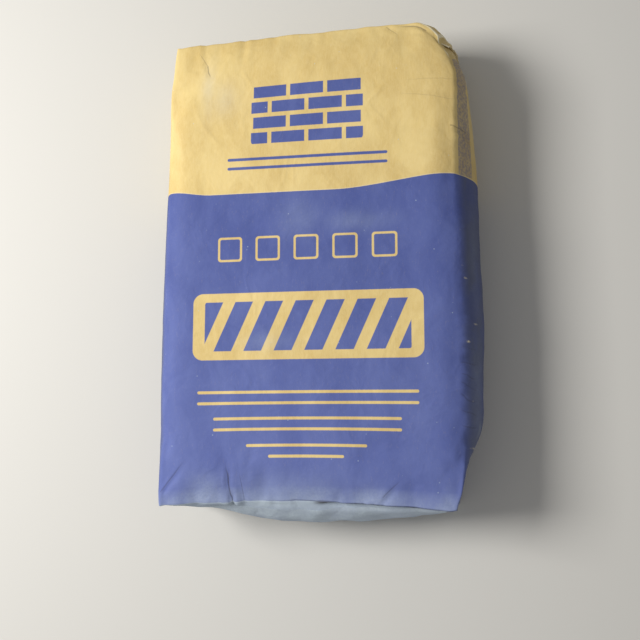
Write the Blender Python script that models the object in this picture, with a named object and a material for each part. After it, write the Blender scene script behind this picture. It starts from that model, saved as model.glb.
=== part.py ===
"""A filled paper valve sack of cement, lying on its back with its printed front up.

Units are metres. X runs across the front, Y along the sack towards the valve end, and Z up.
The origin is on the floor, under the middle of the whole sack.

The sack is a paper tube whose two ends are folded square and glued, so its ends are rectangles.
Between the ends the cement fills the tube out. The front keeps its fold on the left and rolls
over softly on the right, where the side swells most, and the ends are pushed out to low crowns.
"""

import math

import bmesh
import bpy

# The paper tube, as its maker measures it
LAY_FLAT_WIDTH = 0.425
END_WIDTH = 0.105
SACK_LENGTH = 0.515

# How far the cement pushes the faces, the sides and the ends out of the empty box
FACE_BULGE = 0.007
BULGE_SHARE_BELOW = 0.4
LEFT_SWELL = 0.010
RIGHT_SWELL = 0.026
END_CROWN = 0.016

# How far from each end the tube is round, and how far from it the sides are at their widest
ROUND_FROM_TOP = 0.130
ROUND_FROM_BOTTOM = 0.075
WIDEST_FROM_TOP = 0.240
WIDEST_FROM_BOTTOM = 0.108

# The shoulders of the full section: where the flats end, in from the folds, and the widest place
FRONT_LEFT_IN = 0.0045
FRONT_RIGHT_IN = 0.0020
BACK_IN = 0.018
WIDEST_BELOW_MIDDLE = 0.002

# What the crowns do to the folds between the faces and the ends
BOTTOM_FOLD_PULLED_IN = 0.007
FOLD_PULL_RUN = 0.150
FOLD_DROP = 0.006
FOLD_DROP_RUN = 0.060

# The cover sheets glued over the folded ends
COVER_SIDE_MARGIN = 0.012
COVER_FACE_MARGIN = 0.009
COVER_THICKNESS = 0.0004

# The paper sleeve of the filling valve, in the top end's right corner
SLEEVE_FACE_MARGIN = 0.010
SLEEVE_REACH_IN = 0.060
SLEEVE_STANDS_OUT = 0.004
SLEEVE_THICKNESS = 0.0016
SLEEVE_SLIT = 0.0006
SLEEVE_FOLD_WALL = 0.0012
FLAPS_OVER_SLEEVE = 0.005

# Paper glued on paper, with the gap that keeps two solids apart
GLUE_GAP = 0.0003

# How far a cutter runs past what it cuts
CUTTER_OVERRUN = 0.030

# The print covers the front from the bottom end up to here
PRINT_LENGTH = 0.337

# How finely the surfaces are divided, closer together towards the ends
CELLS_ACROSS = 18
CELLS_THICK = 10
CELLS_ALONG_HALF = 15
CROWDING_AT_ENDS = 1.4

FACE_WIDTH = LAY_FLAT_WIDTH - END_WIDTH
HALF_FACE = FACE_WIDTH / 2
HALF_LENGTH = SACK_LENGTH / 2
HALF_END = END_WIDTH / 2
END_MIDDLE_UP = HALF_END + FACE_BULGE * BULGE_SHARE_BELOW
SHARP_EDGE = math.radians(40)

KRAFT = (0.72, 0.55, 0.23, 1.0)
PRINTED_BLUE = (0.105, 0.131, 0.341, 1.0)
DUSTY_BLUE = (0.30, 0.35, 0.38, 1.0)
PALE_KRAFT = (0.80, 0.70, 0.48, 1.0)
PAPER_ROUGHNESS = 0.75


def clear_scene():
    for thing in list(bpy.data.objects):
        bpy.data.objects.remove(thing)


def paper(name, colour):
    material = bpy.data.materials.new(name)
    material.use_nodes = True
    shader = material.node_tree.nodes["Principled BSDF"]
    shader.inputs["Base Color"].default_value = colour
    shader.inputs["Roughness"].default_value = PAPER_ROUGHNESS
    shader.inputs["Metallic"].default_value = 0.0
    material.diffuse_color = colour
    return material


def node_from(name, mesh_work, materials):
    """Makes a node of what was built round the folded ends' middle, moved to its place in the frame."""
    bmesh.ops.translate(mesh_work, verts=mesh_work.verts, vec=(-middle_of_widest(), 0, 0))
    bmesh.ops.recalc_face_normals(mesh_work, faces=mesh_work.faces)
    mesh = bpy.data.meshes.new(name)
    mesh_work.to_mesh(mesh)
    mesh_work.free()
    mesh.shade_smooth()
    mesh.set_sharp_from_angle(angle=SHARP_EDGE)
    for material in materials:
        mesh.materials.append(material)
    thing = bpy.data.objects.new(name, mesh)
    bpy.context.scene.collection.objects.link(thing)
    return thing


def smooth_step(part):
    part = min(1.0, max(0.0, part))
    return part * part * (3 - 2 * part)


def quarter_wave(part):
    return math.sin(math.pi / 2 * min(1.0, max(0.0, part)))


def roundness(y):
    """0 at the folded ends, rising to 1 where the cement fills the section out."""
    from_top = quarter_wave((HALF_LENGTH - y) / ROUND_FROM_TOP)
    from_bottom = quarter_wave((HALF_LENGTH + y) / ROUND_FROM_BOTTOM)
    return from_top * from_bottom


def side_swell(y):
    """0 at the folded ends, rising to 1 where the sides are at their widest."""
    from_top = quarter_wave((HALF_LENGTH - y) / WIDEST_FROM_TOP)
    from_bottom = smooth_step((HALF_LENGTH + y) / WIDEST_FROM_BOTTOM)
    return from_top * from_bottom


def middle_of_widest():
    """How far right of the folded ends' middle the middle of the whole sack lies."""
    return (RIGHT_SWELL - LEFT_SWELL) / 2 * max(side_swell(y) for y in places_along())


def widest_place(y):
    """(thickness, height of the widest place over the floor) of the section at y."""
    full = roundness(y)
    thickness = END_WIDTH + FACE_BULGE * full
    underside = FACE_BULGE * BULGE_SHARE_BELOW * (1 - full)
    return thickness, underside + thickness / 2 - WIDEST_BELOW_MIDDLE * full


def quarter_sizes(on_right, on_front, y):
    """(flat across, shoulder across, shoulder up, flat up) of one quarter of the section at y."""
    full = roundness(y)
    thickness = widest_place(y)[0]
    if on_front:
        height = thickness / 2 + WIDEST_BELOW_MIDDLE * full
        flat_in = FRONT_RIGHT_IN if on_right else FRONT_LEFT_IN
    else:
        height = thickness / 2 - WIDEST_BELOW_MIDDLE * full
        flat_in = BACK_IN
    swell = side_swell(y) * (RIGHT_SWELL if on_right else LEFT_SWELL)
    flat_x = HALF_FACE - flat_in * full
    return flat_x, HALF_FACE + swell - flat_x, height * full, height * (1 - full)


def shoulder_length(round_x, round_z):
    """The length of paper in a quarter of an ellipse."""
    return math.pi / 2 * math.sqrt((round_x**2 + round_z**2) / 2)


def rim_point(across, up, y):
    """The point of the section at y for a place (across, up) on the rim of a square from -1 to 1.

    From the middle of a face the paper runs flat, then round a quarter of an ellipse, then flat
    again to the widest place. The square's corner is the tube's fold, half a face's width along.
    """
    flat_x, round_x, round_z, flat_z = quarter_sizes(across > 0, up > 0, y)
    shoulder = shoulder_length(round_x, round_z)
    if abs(up) >= abs(across):
        way = abs(across) * HALF_FACE
    else:
        way = HALF_FACE + (1 - abs(up)) * (flat_x + shoulder + flat_z - HALF_FACE)
    if way <= flat_x:
        x = way
        z = flat_z + round_z
    else:
        turn = math.pi / 2 * min(1.0, (way - flat_x) / shoulder) if shoulder > 0 else math.pi / 2
        past = max(0.0, way - flat_x - shoulder)
        x = flat_x + round_x * math.sin(turn)
        z = flat_z + round_z * math.cos(turn) - past
    return math.copysign(x, across), widest_place(y)[1] + math.copysign(z, up)


def fold_pull(across, y):
    """How far the paper at y is drawn in towards the sack's middle, most in the middle of its fold."""
    near_bottom = 1 - smooth_step((HALF_LENGTH + y) / FOLD_PULL_RUN)
    return BOTTOM_FOLD_PULLED_IN * (1 - across**2) * near_bottom


def fold_drop(across, y):
    """How far the faces at y come together, most in the middle of their folds."""
    near_end = 1 - smooth_step((HALF_LENGTH - abs(y)) / FOLD_DROP_RUN)
    return FOLD_DROP * (1 - across**2) * near_end


def tube_point(across, up, y):
    x, z = rim_point(across, up, y)
    return x, y + fold_pull(across, y), z - up * fold_drop(across, y)


def end_point(across, up, side, lift=0.0):
    """A point of the end: a rectangle crowned in its middle, with its folds drawn in and together."""
    pull = fold_pull(across, side * HALF_LENGTH)
    crown = (END_CROWN * (1 - across**2) + pull) * (1 - up**2)
    z = END_MIDDLE_UP + up * (HALF_END - fold_drop(across, HALF_LENGTH))
    return across * HALF_FACE, side * (HALF_LENGTH + crown - pull + lift), z


def places_inside(margin, half, count):
    """Even places on an end's rectangle, from -1 to 1 at its edges, that stop a margin short of them."""
    edge = 1 - margin / half
    return [edge * (2 * i / count - 1) for i in range(count + 1)]


def covered_places():
    """The grid's lines across and up under a cover sheet, the first and last ones at its edges."""
    across = places_inside(COVER_SIDE_MARGIN, HALF_FACE, CELLS_ACROSS)
    return across, places_inside(COVER_FACE_MARGIN, HALF_END, CELLS_THICK)


def end_places():
    """All of the grid's lines, with the end's own edges too."""
    across, up = covered_places()
    return [-1.0] + across + [1.0], [-1.0] + up + [1.0]


def places_along():
    """The sections' places along Y, closer together towards the ends, with one where the print ends."""
    parts = [i / CELLS_ALONG_HALF for i in range(CELLS_ALONG_HALF + 1)]
    from_end = [HALF_LENGTH * part**CROWDING_AT_ENDS for part in parts]
    places = {HALF_LENGTH - way for way in from_end} | {way - HALF_LENGTH for way in from_end}
    print_end = PRINT_LENGTH - HALF_LENGTH
    clearance = HALF_LENGTH / CELLS_ALONG_HALF / 2
    if abs(print_end) < HALF_LENGTH - clearance:
        ends = {HALF_LENGTH, -HALF_LENGTH}
        places = ends | {y for y in places if abs(y - print_end) > clearance} | {print_end}
    return sorted(places, reverse=True)


def rim_of_square():
    """Places round the rim: along the front, down the right, back along the underside, up the left."""
    xs, zs = end_places()
    front = [(x, 1.0) for x in xs[:-1]]
    right = [(1.0, z) for z in reversed(zs[1:])]
    under = [(x, -1.0) for x in reversed(xs[1:])]
    left = [(-1.0, z) for z in zs[:-1]]
    return front + right + under + left


def make_sack_body(printed, bare):
    work = bmesh.new()
    places = places_along()
    rings = [[work.verts.new(tube_point(*spot, y)) for spot in rim_of_square()] for y in places]
    for ring, following, y in zip(rings, rings[1:], places):
        slot = 0 if y <= PRINT_LENGTH - HALF_LENGTH else 1
        for i in range(len(ring)):
            j = (i + 1) % len(ring)
            face = work.faces.new((ring[i], ring[j], following[j], following[i]))
            face.material_index = slot
    close_end(work, rings[0], 1, 1)
    close_end(work, rings[-1], -1, 0)
    body = node_from("sack_body", work, [printed, bare])
    cut_valve_pocket(body)
    return body


def close_end(work, ring, side, slot):
    """Closes one end with a crowned grid that uses the last ring as its rim."""
    rim = dict(zip(rim_of_square(), ring))
    xs, zs = end_places()
    grid = []
    for up in zs:
        row = []
        for across in xs:
            row.append(rim.get((across, up)) or work.verts.new(end_point(across, up, side)))
        grid.append(row)
    for face in fill_grid(work, grid):
        face.material_index = slot


def fill_grid(work, grid):
    faces = []
    for low, high in zip(grid, grid[1:]):
        for i in range(len(low) - 1):
            faces.append(work.faces.new((low[i], low[i + 1], high[i + 1], high[i])))
    return faces


def sleeve_box():
    """((lowest x, y, z), (highest x, y, z)) of the flattened valve sleeve."""
    half_across = HALF_END - SLEEVE_FACE_MARGIN
    outer = HALF_LENGTH - FLAPS_OVER_SLEEVE
    low = (HALF_FACE - SLEEVE_REACH_IN, outer - SLEEVE_THICKNESS, END_MIDDLE_UP - half_across)
    high = (HALF_FACE + SLEEVE_STANDS_OUT, outer, END_MIDDLE_UP + half_across)
    return low, high


def box_mesh(low, high):
    work = bmesh.new()
    bmesh.ops.create_cube(work, size=1.0)
    for vertex in work.verts:
        for axis in range(3):
            vertex.co[axis] = high[axis] if vertex.co[axis] > 0 else low[axis]
    return work


def cut_box_away(thing, name, low, high):
    tool = node_from(name, box_mesh(low, high), [])
    tool.hide_render = True
    tool.display_type = "WIRE"
    cut = thing.modifiers.new("cut " + name, "BOOLEAN")
    cut.operation = "DIFFERENCE"
    cut.object = tool


def cut_valve_pocket(body):
    """The pocket that holds the sleeve, open on the sack's right side."""
    low, high = sleeve_box()
    pocket_low = [value - GLUE_GAP for value in low]
    open_side = max(high[0], HALF_FACE + RIGHT_SWELL) + CUTTER_OVERRUN
    cut_box_away(body, "valve_pocket", pocket_low, (open_side, high[1] + GLUE_GAP, high[2] + GLUE_GAP))


def make_valve_sleeve(material):
    """A flattened paper tube: two walls with a slit between them, joined at its two folds."""
    low, high = sleeve_box()
    sleeve = node_from("valve_sleeve", box_mesh(low, high), [material])
    middle = (low[1] + high[1]) / 2
    slit_low = (low[0] - CUTTER_OVERRUN, middle - SLEEVE_SLIT / 2, low[2] + SLEEVE_FOLD_WALL)
    slit_high = (high[0] + CUTTER_OVERRUN, middle + SLEEVE_SLIT / 2, high[2] - SLEEVE_FOLD_WALL)
    cut_box_away(sleeve, "sleeve_slit", slit_low, slit_high)
    return sleeve


def make_cover_sheet(name, side, material):
    """A sheet of paper that follows the crowned end, clear of its edges by the two margins."""
    work = bmesh.new()
    xs, zs = covered_places()
    layers = []
    for lift in (GLUE_GAP, GLUE_GAP + COVER_THICKNESS):
        grid = [[work.verts.new(end_point(across, up, side, lift)) for across in xs] for up in zs]
        fill_grid(work, grid)
        layers.append(grid)
    for inner, outer in zip(rim_edges(layers[0]), rim_edges(layers[1])):
        work.faces.new((inner[0], inner[1], outer[1], outer[0]))
    return node_from(name, work, [material])


def rim_edges(grid):
    """The pairs of neighbours round a grid's rim."""
    bottom = grid[0][:-1]
    right = [row[-1] for row in grid[:-1]]
    top = grid[-1][:0:-1]
    left = [row[0] for row in grid[:0:-1]]
    loop = bottom + right + top + left
    return list(zip(loop, loop[1:] + loop[:1]))


def main():
    clear_scene()
    bare = paper("kraft_paper", KRAFT)
    make_sack_body(paper("printed_blue_paper", PRINTED_BLUE), bare)
    make_cover_sheet("bottom_cover_sheet", -1, paper("dusty_blue_paper", DUSTY_BLUE))
    make_cover_sheet("top_cover_sheet", 1, bare)
    make_valve_sleeve(paper("sleeve_paper", PALE_KRAFT))


main()
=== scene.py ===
# %% [markdown]
# # A paper sack of cement
#
# This lesson dresses a filled valve sack: a tube of kraft paper, printed blue over its lower two
# thirds, folded square at both ends and blown full of cement. The solid model is loaded first as a
# fixed frame, and every piece made here stays in its place around it. The right side swells more
# than the left one, so the middle of the folded ends isn't quite the middle of the whole sack, and
# places across are measured from the ends' middle.

# %% Load the model
import math

import bmesh
import bpy
import numpy as np
from mathutils import Matrix, Vector, noise


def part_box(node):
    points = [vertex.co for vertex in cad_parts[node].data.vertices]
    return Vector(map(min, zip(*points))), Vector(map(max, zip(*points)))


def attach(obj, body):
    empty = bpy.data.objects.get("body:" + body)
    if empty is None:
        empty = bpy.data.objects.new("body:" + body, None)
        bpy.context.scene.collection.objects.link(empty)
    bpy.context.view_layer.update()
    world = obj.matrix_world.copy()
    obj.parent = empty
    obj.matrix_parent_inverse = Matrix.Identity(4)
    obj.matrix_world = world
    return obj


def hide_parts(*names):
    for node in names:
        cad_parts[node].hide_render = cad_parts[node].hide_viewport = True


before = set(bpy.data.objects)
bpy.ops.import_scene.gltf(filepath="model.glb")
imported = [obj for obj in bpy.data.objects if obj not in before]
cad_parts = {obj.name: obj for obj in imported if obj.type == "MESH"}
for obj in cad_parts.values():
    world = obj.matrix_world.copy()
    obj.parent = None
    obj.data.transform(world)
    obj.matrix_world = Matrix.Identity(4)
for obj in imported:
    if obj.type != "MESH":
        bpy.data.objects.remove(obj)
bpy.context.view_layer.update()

sheet_low, sheet_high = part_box("top_cover_sheet")
ENDS_MIDDLE = Vector(((sheet_low[0] + sheet_high[0]) / 2, 0, 0))
print("nodes:", sorted(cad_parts))
print("the folded ends' middle:", round(1000 * ENDS_MIDDLE.x, 2), "mm across")

# %% [markdown]
# ## The camera
#
# The photographer stood over the sack and a little to its right and below it, so its right side and
# its bottom end just show. A camera can be aimed with a Track To constraint, but a matrix made from
# two directions is shorter, and it keeps the sack's length upright in the picture.

# %% Place the camera
CAMERA_PLACE = Vector((0.1751, -0.1789, 1.0057))
CAMERA_AIM = Vector((0.0145, -0.0607, 0.1078))
CAMERA_LENS_MM = 48.94


def facing(place, aim, upright):
    """A matrix at place whose -Z looks at aim, with upright pointing up the picture."""
    back = (place - aim).normalized()
    right = upright.cross(back).normalized()
    turn = Matrix((right, back.cross(right), back)).transposed()
    return Matrix.Translation(place) @ turn.to_4x4()


camera_data = bpy.data.cameras.new("camera")
camera_data.lens = CAMERA_LENS_MM
camera = bpy.data.objects.new("camera", camera_data)
camera.matrix_world = facing(CAMERA_PLACE + ENDS_MIDDLE, CAMERA_AIM + ENDS_MIDDLE, Vector((0, 1, 0)))
bpy.context.scene.collection.objects.link(camera)
bpy.context.scene.camera = camera
print("camera", round((CAMERA_PLACE - CAMERA_AIM).length, 3), "m from the front")

# %% [markdown]
# ## The light
#
# The light in the picture comes from the left and a little from above, so the front is bright, the
# left edge glows, and the right side falls dark. One large lamp gives that, and a weak grey world
# fills the shadows. The Standard view keeps the paper's colours as they are set.

# %% Light the scene
KEY_PLACE = Vector((-1.20, 0.12, 1.35))
KEY_AIM = Vector((0.0, 0.0, 0.05))
KEY_SIZE = 0.7
KEY_WATTS = 36.0
KEY_COLOUR = (1.0, 0.965, 0.90)
FILL_STRENGTH = 0.32
FILL_COLOUR = (1.0, 0.98, 0.95, 1.0)

scene = bpy.context.scene
scene.view_settings.view_transform = "Standard"

key_data = bpy.data.lights.new("key_light", "AREA")
key_data.energy = KEY_WATTS
key_data.size = KEY_SIZE
key_data.color = KEY_COLOUR
key_light = bpy.data.objects.new("key_light", key_data)
key_light.matrix_world = facing(KEY_PLACE + ENDS_MIDDLE, KEY_AIM + ENDS_MIDDLE, Vector((0, 0, 1)))
scene.collection.objects.link(key_light)

world = bpy.data.worlds.new("soft_fill")
world.use_nodes = True
world.node_tree.nodes["Background"].inputs["Color"].default_value = FILL_COLOUR
world.node_tree.nodes["Background"].inputs["Strength"].default_value = FILL_STRENGTH
scene.world = world
print("key light", KEY_WATTS, "W")

# %% [markdown]
# ## The tube of paper
#
# The maker folds a flat tube into a box: two faces, two sides and two ends. Modelling starts from
# that box, as a grid over all six of its faces, with its lines closer together near the folds. Each
# point keeps its place on the unfilled box, so the print can follow the paper wherever it goes.

# %% Lay out the grid
FACE_WIDTH = 0.320
END_WIDTH = 0.105
SACK_LENGTH = 0.515
HALF_FACE = FACE_WIDTH / 2
HALF_LENGTH = SACK_LENGTH / 2
CELL_MIDDLE = 0.0064
CELL_EDGE = 0.0034
EDGE_REACH = 0.036
ON_FACE = 0.999


def smooth_step(low, high, value):
    part = np.clip((value - low) / (high - low), 0, 1)
    return part * part * (3 - 2 * part)


def graded_places(length):
    """Places from -1 to 1 along a side, closer together towards both of its ends."""
    fine = np.linspace(0, length, 2001)
    from_end = np.minimum(fine, length - fine)
    cell = CELL_EDGE + (CELL_MIDDLE - CELL_EDGE) * smooth_step(0, EDGE_REACH, from_end)
    count = np.concatenate(([0], np.cumsum(np.diff(fine) / ((cell[1:] + cell[:-1]) / 2))))
    steps = np.linspace(0, count[-1], round(count[-1]) + 1)
    return np.interp(steps, count, fine) / length * 2 - 1


def box_grid(sides):
    """(points, quads) of a grid over the six faces of a box, with the given places along each axis."""
    counts = [len(places) - 1 for places in sides]
    number_of = {}
    quads = []
    for axis in range(3):
        first, second = [other for other in range(3) if other != axis]
        for end in (0, counts[axis]):
            for i in range(counts[first]):
                for j in range(counts[second]):
                    quad = []
                    for di, dj in ((0, 0), (1, 0), (1, 1), (0, 1)):
                        place = [0, 0, 0]
                        place[axis] = end
                        place[first] = i + di
                        place[second] = j + dj
                        quad.append(number_of.setdefault(tuple(place), len(number_of)))
                    faces_outward = (end > 0) == (axis != 1)
                    quads.append(quad if faces_outward else quad[::-1])
    numbers = np.array(list(number_of))
    return np.stack([sides[axis][numbers[:, axis]] for axis in range(3)], axis=1), quads


box_sides = [graded_places(side) for side in (FACE_WIDTH, SACK_LENGTH, END_WIDTH)]
box_places, box_quads = box_grid(box_sides)
half_box = np.array((FACE_WIDTH, SACK_LENGTH, END_WIDTH)) / 2
unfilled = box_places * half_box + (0, 0, half_box[2])
print(len(box_places), "points,", len(box_quads), "squares")

# %% [markdown]
# ## The filled shape
#
# Cement fills the tube out. The front stays flat, its left edge keeps its fold, and the right side,
# which the picture shows, bulges out, most of all below the middle. So each quarter of the section
# is a flat, an ellipse and another flat, and paper is laid along it by length. A lattice could push
# a box towards this, but with the outline known at a few places the curve is drawn straight away.

# %% Draw the outlines of the filled sack
LEFT_EDGE = (
    (-0.2575, 0.1612), (-0.190, 0.1603), (-0.100, 0.1577), (-0.035, 0.1572), (0.100, 0.1545),
    (0.163, 0.1560), (0.204, 0.1570), (0.245, 0.1520), (0.2575, 0.1510),
)
LEFT_WIDEST = (
    (-0.2575, 0.1612), (-0.200, 0.1640), (-0.126, 0.1690), (-0.044, 0.1695),
    (0.061, 0.1670), (0.170, 0.1610), (0.215, 0.1575), (0.2575, 0.1510),
)
RIGHT_EDGE = (
    (-0.2575, 0.1555), (-0.238, 0.1608), (-0.216, 0.1645), (-0.190, 0.1645), (-0.146, 0.1608),
    (0.019, 0.1580), (0.094, 0.1585), (0.200, 0.1605), (0.240, 0.1600), (0.2575, 0.1590),
)
RIGHT_WIDEST = (
    (-0.2575, 0.1570), (-0.238, 0.1515), (-0.222, 0.1535), (-0.206, 0.1620), (-0.182, 0.1775),
    (-0.130, 0.1808), (-0.063, 0.1834), (0.020, 0.1802), (0.090, 0.1796), (0.170, 0.1740),
    (0.205, 0.1692), (0.227, 0.1615), (0.2575, 0.1575),
)
RIGHT_FOLD_DEGREES = (
    (-0.2575, 42), (-0.205, 42), (-0.165, 5), (-0.145, 0),
    (0.015, 0), (0.040, 5), (0.085, 34), (0.2575, 38),
)
LEFT_ROLL = 0.0009
LEFT_ROLL_WIDTH = 0.012
FACE_BULGE = 0.007
BULGE_SHARE_BELOW = 0.4
WIDEST_SHARE = 0.48
BACK_EDGE_IN = 0.016
FRONT_FALL = 0.05
FULL_RUN_TOP = 0.130
FULL_RUN_BOTTOM = 0.075
END_CROWN = 0.016
TOP_CROWN_POWER = 1.6
BOTTOM_FOLD_PULLED_IN = 0.007
TOP_FOLD_PUSHED_OUT = 0.0072
TOP_FOLD_SKEW = 0.0057
TOP_FOLD_CORNERS_OUT = 0.0030
FOLD_PULL_RUN = 0.150
FOLD_DROP = 0.006
FOLD_DROP_RUN = 0.060
CORNER_SHARE_OF_DROP = 0.5


def curve_through(places, at):
    """A smooth curve through (where, value) places in rising order, read at every place in at."""
    where, value = np.array(places).T
    slope = np.gradient(value, where)
    left = np.clip(np.searchsorted(where, at) - 1, 0, len(where) - 2)
    run = where[left + 1] - where[left]
    t = np.clip((at - where[left]) / run, 0, 1)
    from_values = value[left] * (1 + 2 * t) * (1 - t) ** 2 + value[left + 1] * t**2 * (3 - 2 * t)
    from_slopes = slope[left] * t * (1 - t) ** 2 - slope[left + 1] * t**2 * (1 - t)
    return from_values + run * from_slopes


def fullness(y):
    """0 at the square ends, 1 where the sack is full."""
    from_top = np.minimum(1, (HALF_LENGTH - y) / FULL_RUN_TOP)
    from_bottom = np.minimum(1, (HALF_LENGTH + y) / FULL_RUN_BOTTOM)
    return np.sin(math.pi / 2 * from_top) * np.sin(math.pi / 2 * from_bottom)


ELLIPSE_STEPS = 32


def shoulder_point(turn, start, round_x, round_z):
    """(x, z) at a turn round a shoulder: an ellipse from its start turn on, stretched to full size."""
    x = round_x * (np.sin(turn) - np.sin(start)) / (1 - np.sin(start))
    return x, round_z * np.cos(turn) / np.cos(start)


def lengths_round(start, round_x, round_z):
    """(turns, lengths): how much paper lies round each shoulder up to each turn."""
    start, round_x, round_z = start[:, None], round_x[:, None], round_z[:, None]
    turns = start + (math.pi / 2 - start) * np.linspace(0, 1, ELLIPSE_STEPS + 1)
    x, z = shoulder_point(turns, start, round_x, round_z)
    pieces = np.hypot(np.diff(x), np.diff(z))
    return turns, np.column_stack((np.zeros(len(pieces)), np.cumsum(pieces, axis=1)))


def along_quarter(length, flat_x, start, round_x, flat_z, round_z):
    """(x, z) at a length along a quarter section: a flat, a shoulder, a flat."""
    turns, lengths = lengths_round(start, round_x, round_z)
    quarter = lengths[:, -1]
    turn = np.array([np.interp(*row) for row in zip(length - flat_x, lengths, turns)])
    turn = np.where(quarter > 1e-6, turn, math.pi / 2)
    past = np.maximum(0, length - flat_x - quarter)
    x, z = shoulder_point(turn, start, round_x, round_z)
    return np.minimum(length, flat_x) + x, flat_z + z - past, flat_x + quarter + flat_z


def filled_section(across, up, y):
    """(x, z) on the filled section at y, for a place (across, up) on the rim of the unfilled one."""
    full = fullness(y)
    on_right = across > 0
    on_front = up > 0
    edge = np.where(on_right, curve_through(RIGHT_EDGE, y), curve_through(LEFT_EDGE, y))
    widest = np.where(on_right, curve_through(RIGHT_WIDEST, y), curve_through(LEFT_WIDEST, y))
    thickness = END_WIDTH + FACE_BULGE * full
    lowest = FACE_BULGE * BULGE_SHARE_BELOW * (1 - full)
    widest_height = thickness * (0.5 + (WIDEST_SHARE - 0.5) * full)
    height = np.where(on_front, thickness - widest_height, widest_height)
    flat_x = edge - np.where(on_front, 0, BACK_EDGE_IN) * full
    round_x = widest - flat_x
    round_z = height * full
    face_span = edge + (HALF_FACE - edge) * full
    fold = np.radians(np.maximum(0, curve_through(RIGHT_FOLD_DEGREES, y))) * (on_right & on_front)
    total = along_quarter(0 * y, flat_x, fold, round_x, height - round_z, round_z)[2]
    on_side = np.abs(up) < np.abs(across)
    side_part = (1 - np.abs(up)) * (total - face_span)
    length = np.where(on_side, face_span + side_part, np.abs(across) * face_span)
    x, z, _ = along_quarter(length, flat_x, fold, round_x, height - round_z, round_z)
    fall = FRONT_FALL * full * (x / HALF_FACE) ** 2
    roll = LEFT_ROLL * full * smooth_step(-LEFT_ROLL_WIDTH, 0, x - edge) * ~on_right
    z = np.where(on_front, z * (1 - fall) - roll * z / height, z)
    return np.sign(across) * x, lowest + widest_height + np.sign(up) * z


def filled_shape(places):
    across, along, up = places.T
    y = along * HALF_LENGTH
    x, z = filled_section(across, up, y)
    at_end = np.abs(along) > ON_FACE
    end_half = np.where(across > 0, curve_through(RIGHT_EDGE, y), curve_through(LEFT_EDGE, y))
    x = np.where(at_end, across * end_half, x)
    z = np.where(at_end, FACE_BULGE * BULGE_SHARE_BELOW + (1 + up) * END_WIDTH / 2, z)
    from_end = HALF_LENGTH - np.abs(y)
    middle = np.where(np.abs(across) < 1, 1 - across**2, 0)
    pull = np.where(along < 0, BOTTOM_FOLD_PULLED_IN, -TOP_FOLD_PUSHED_OUT) * middle
    pull -= np.where(along < 0, 0, TOP_FOLD_SKEW * across + TOP_FOLD_CORNERS_OUT * across**2)
    pull *= 1 - smooth_step(0, FOLD_PULL_RUN, from_end)
    by_valve = (across > 0) & (along > 0)
    dropping = np.where(by_valve, 1 - (1 - CORNER_SHARE_OF_DROP) * across**2, middle)
    drop = FOLD_DROP * dropping * (1 - smooth_step(0, FOLD_DROP_RUN, from_end)) * up
    crown_over_fold = END_CROWN + np.where(along < 0, BOTTOM_FOLD_PULLED_IN, -TOP_FOLD_PUSHED_OUT)
    steeper = np.where(along < 0, 1, TOP_CROWN_POWER)
    crown = np.where(at_end, crown_over_fold * middle * (1 - up**2) ** steeper, 0)
    return np.stack((x + ENDS_MIDDLE.x, y + np.sign(along) * (crown - pull), z - drop), axis=1)


filled = filled_shape(box_places)
print("filled to", np.ptp(filled, axis=0).round(4), "m")

# %% [markdown]
# ## Ripples to start from
#
# Paper can't stretch, so where a flat face meets a square end it puckers. A cloth solver finds
# those puckers, but it needs something uneven to start from. The ripples run across the ends'
# edges, and round the sides they run crosswise, where the sack shortens as it fills.

# %% Add the first ripples
RIPPLE_ACROSS = 0.021
RIPPLE_ALONG = 0.075
RIPPLE_HEIGHT = 0.0024
RIPPLE_REACH = 0.10
QUIET_HEIGHT = 0.0004
SIDE_SHARE = 0.35
LEFT_CALM = 0.85


def noise_field(points, scale, seed):
    """Smooth noise from -1 to 1 at each point, with its own wavelength along each axis."""
    shift = Vector((seed * 7.31, seed * 3.77, seed * 5.13))
    return np.array([noise.noise(Vector(place) + shift) for place in points / np.array(scale)])


near_end = 1 - smooth_step(0.0, RIPPLE_REACH, HALF_LENGTH - np.abs(unfilled[:, 1]))
on_side = np.abs(box_places[:, 0]) > ON_FACE
end_ripple = noise_field(unfilled, (RIPPLE_ACROSS, RIPPLE_ALONG, RIPPLE_ACROSS), 1)
side_ripple = noise_field(unfilled, (RIPPLE_ALONG, RIPPLE_ACROSS, RIPPLE_ALONG), 2)
rippling = np.maximum(near_end, SIDE_SHARE * on_side)
rippling *= 1 - LEFT_CALM * on_side * (box_places[:, 0] < 0)
ripple = QUIET_HEIGHT + (RIPPLE_HEIGHT - QUIET_HEIGHT) * rippling
ripple *= np.where(on_side, side_ripple, end_ripple)
outward = box_places * (np.abs(box_places) > ON_FACE)
outward /= np.linalg.norm(outward, axis=1, keepdims=True)
rippled = filled + outward * ripple[:, None]
print("ripples up to", round(1000 * np.abs(ripple).max(), 2), "mm")

# %% [markdown]
# ## Let the paper settle
#
# Cloth with pressure inside stands for the cement. Its rest shape is the unfilled box, so the solver
# knows how much paper there is. A floor below and a board above keep the faces flat, as a sack's
# are when it has been stacked. The solver's puckers are kept, at half height along the top fold,
# which the picture shows almost straight. Its slow swell is kept only in part.

# %% Simulate the paper
CEMENT_PRESSURE = 14.0
PAPER_STIFFNESS = 80.0
PAPER_BENDING = 6.0
PAPER_DAMPING = 25
SETTLE_FRAMES = 30
MOST_MOVEMENT = 0.016
BOARD_GAP = 0.0015
SQUARE = ((-1, -1), (1, -1), (1, 1), (-1, 1))


def mesh_object(name, points, quads):
    mesh = bpy.data.meshes.new(name)
    mesh.from_pydata(np.asarray(points).tolist(), [], quads)
    mesh.update()
    thing = bpy.data.objects.new(name, mesh)
    scene.collection.objects.link(thing)
    return thing


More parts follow.
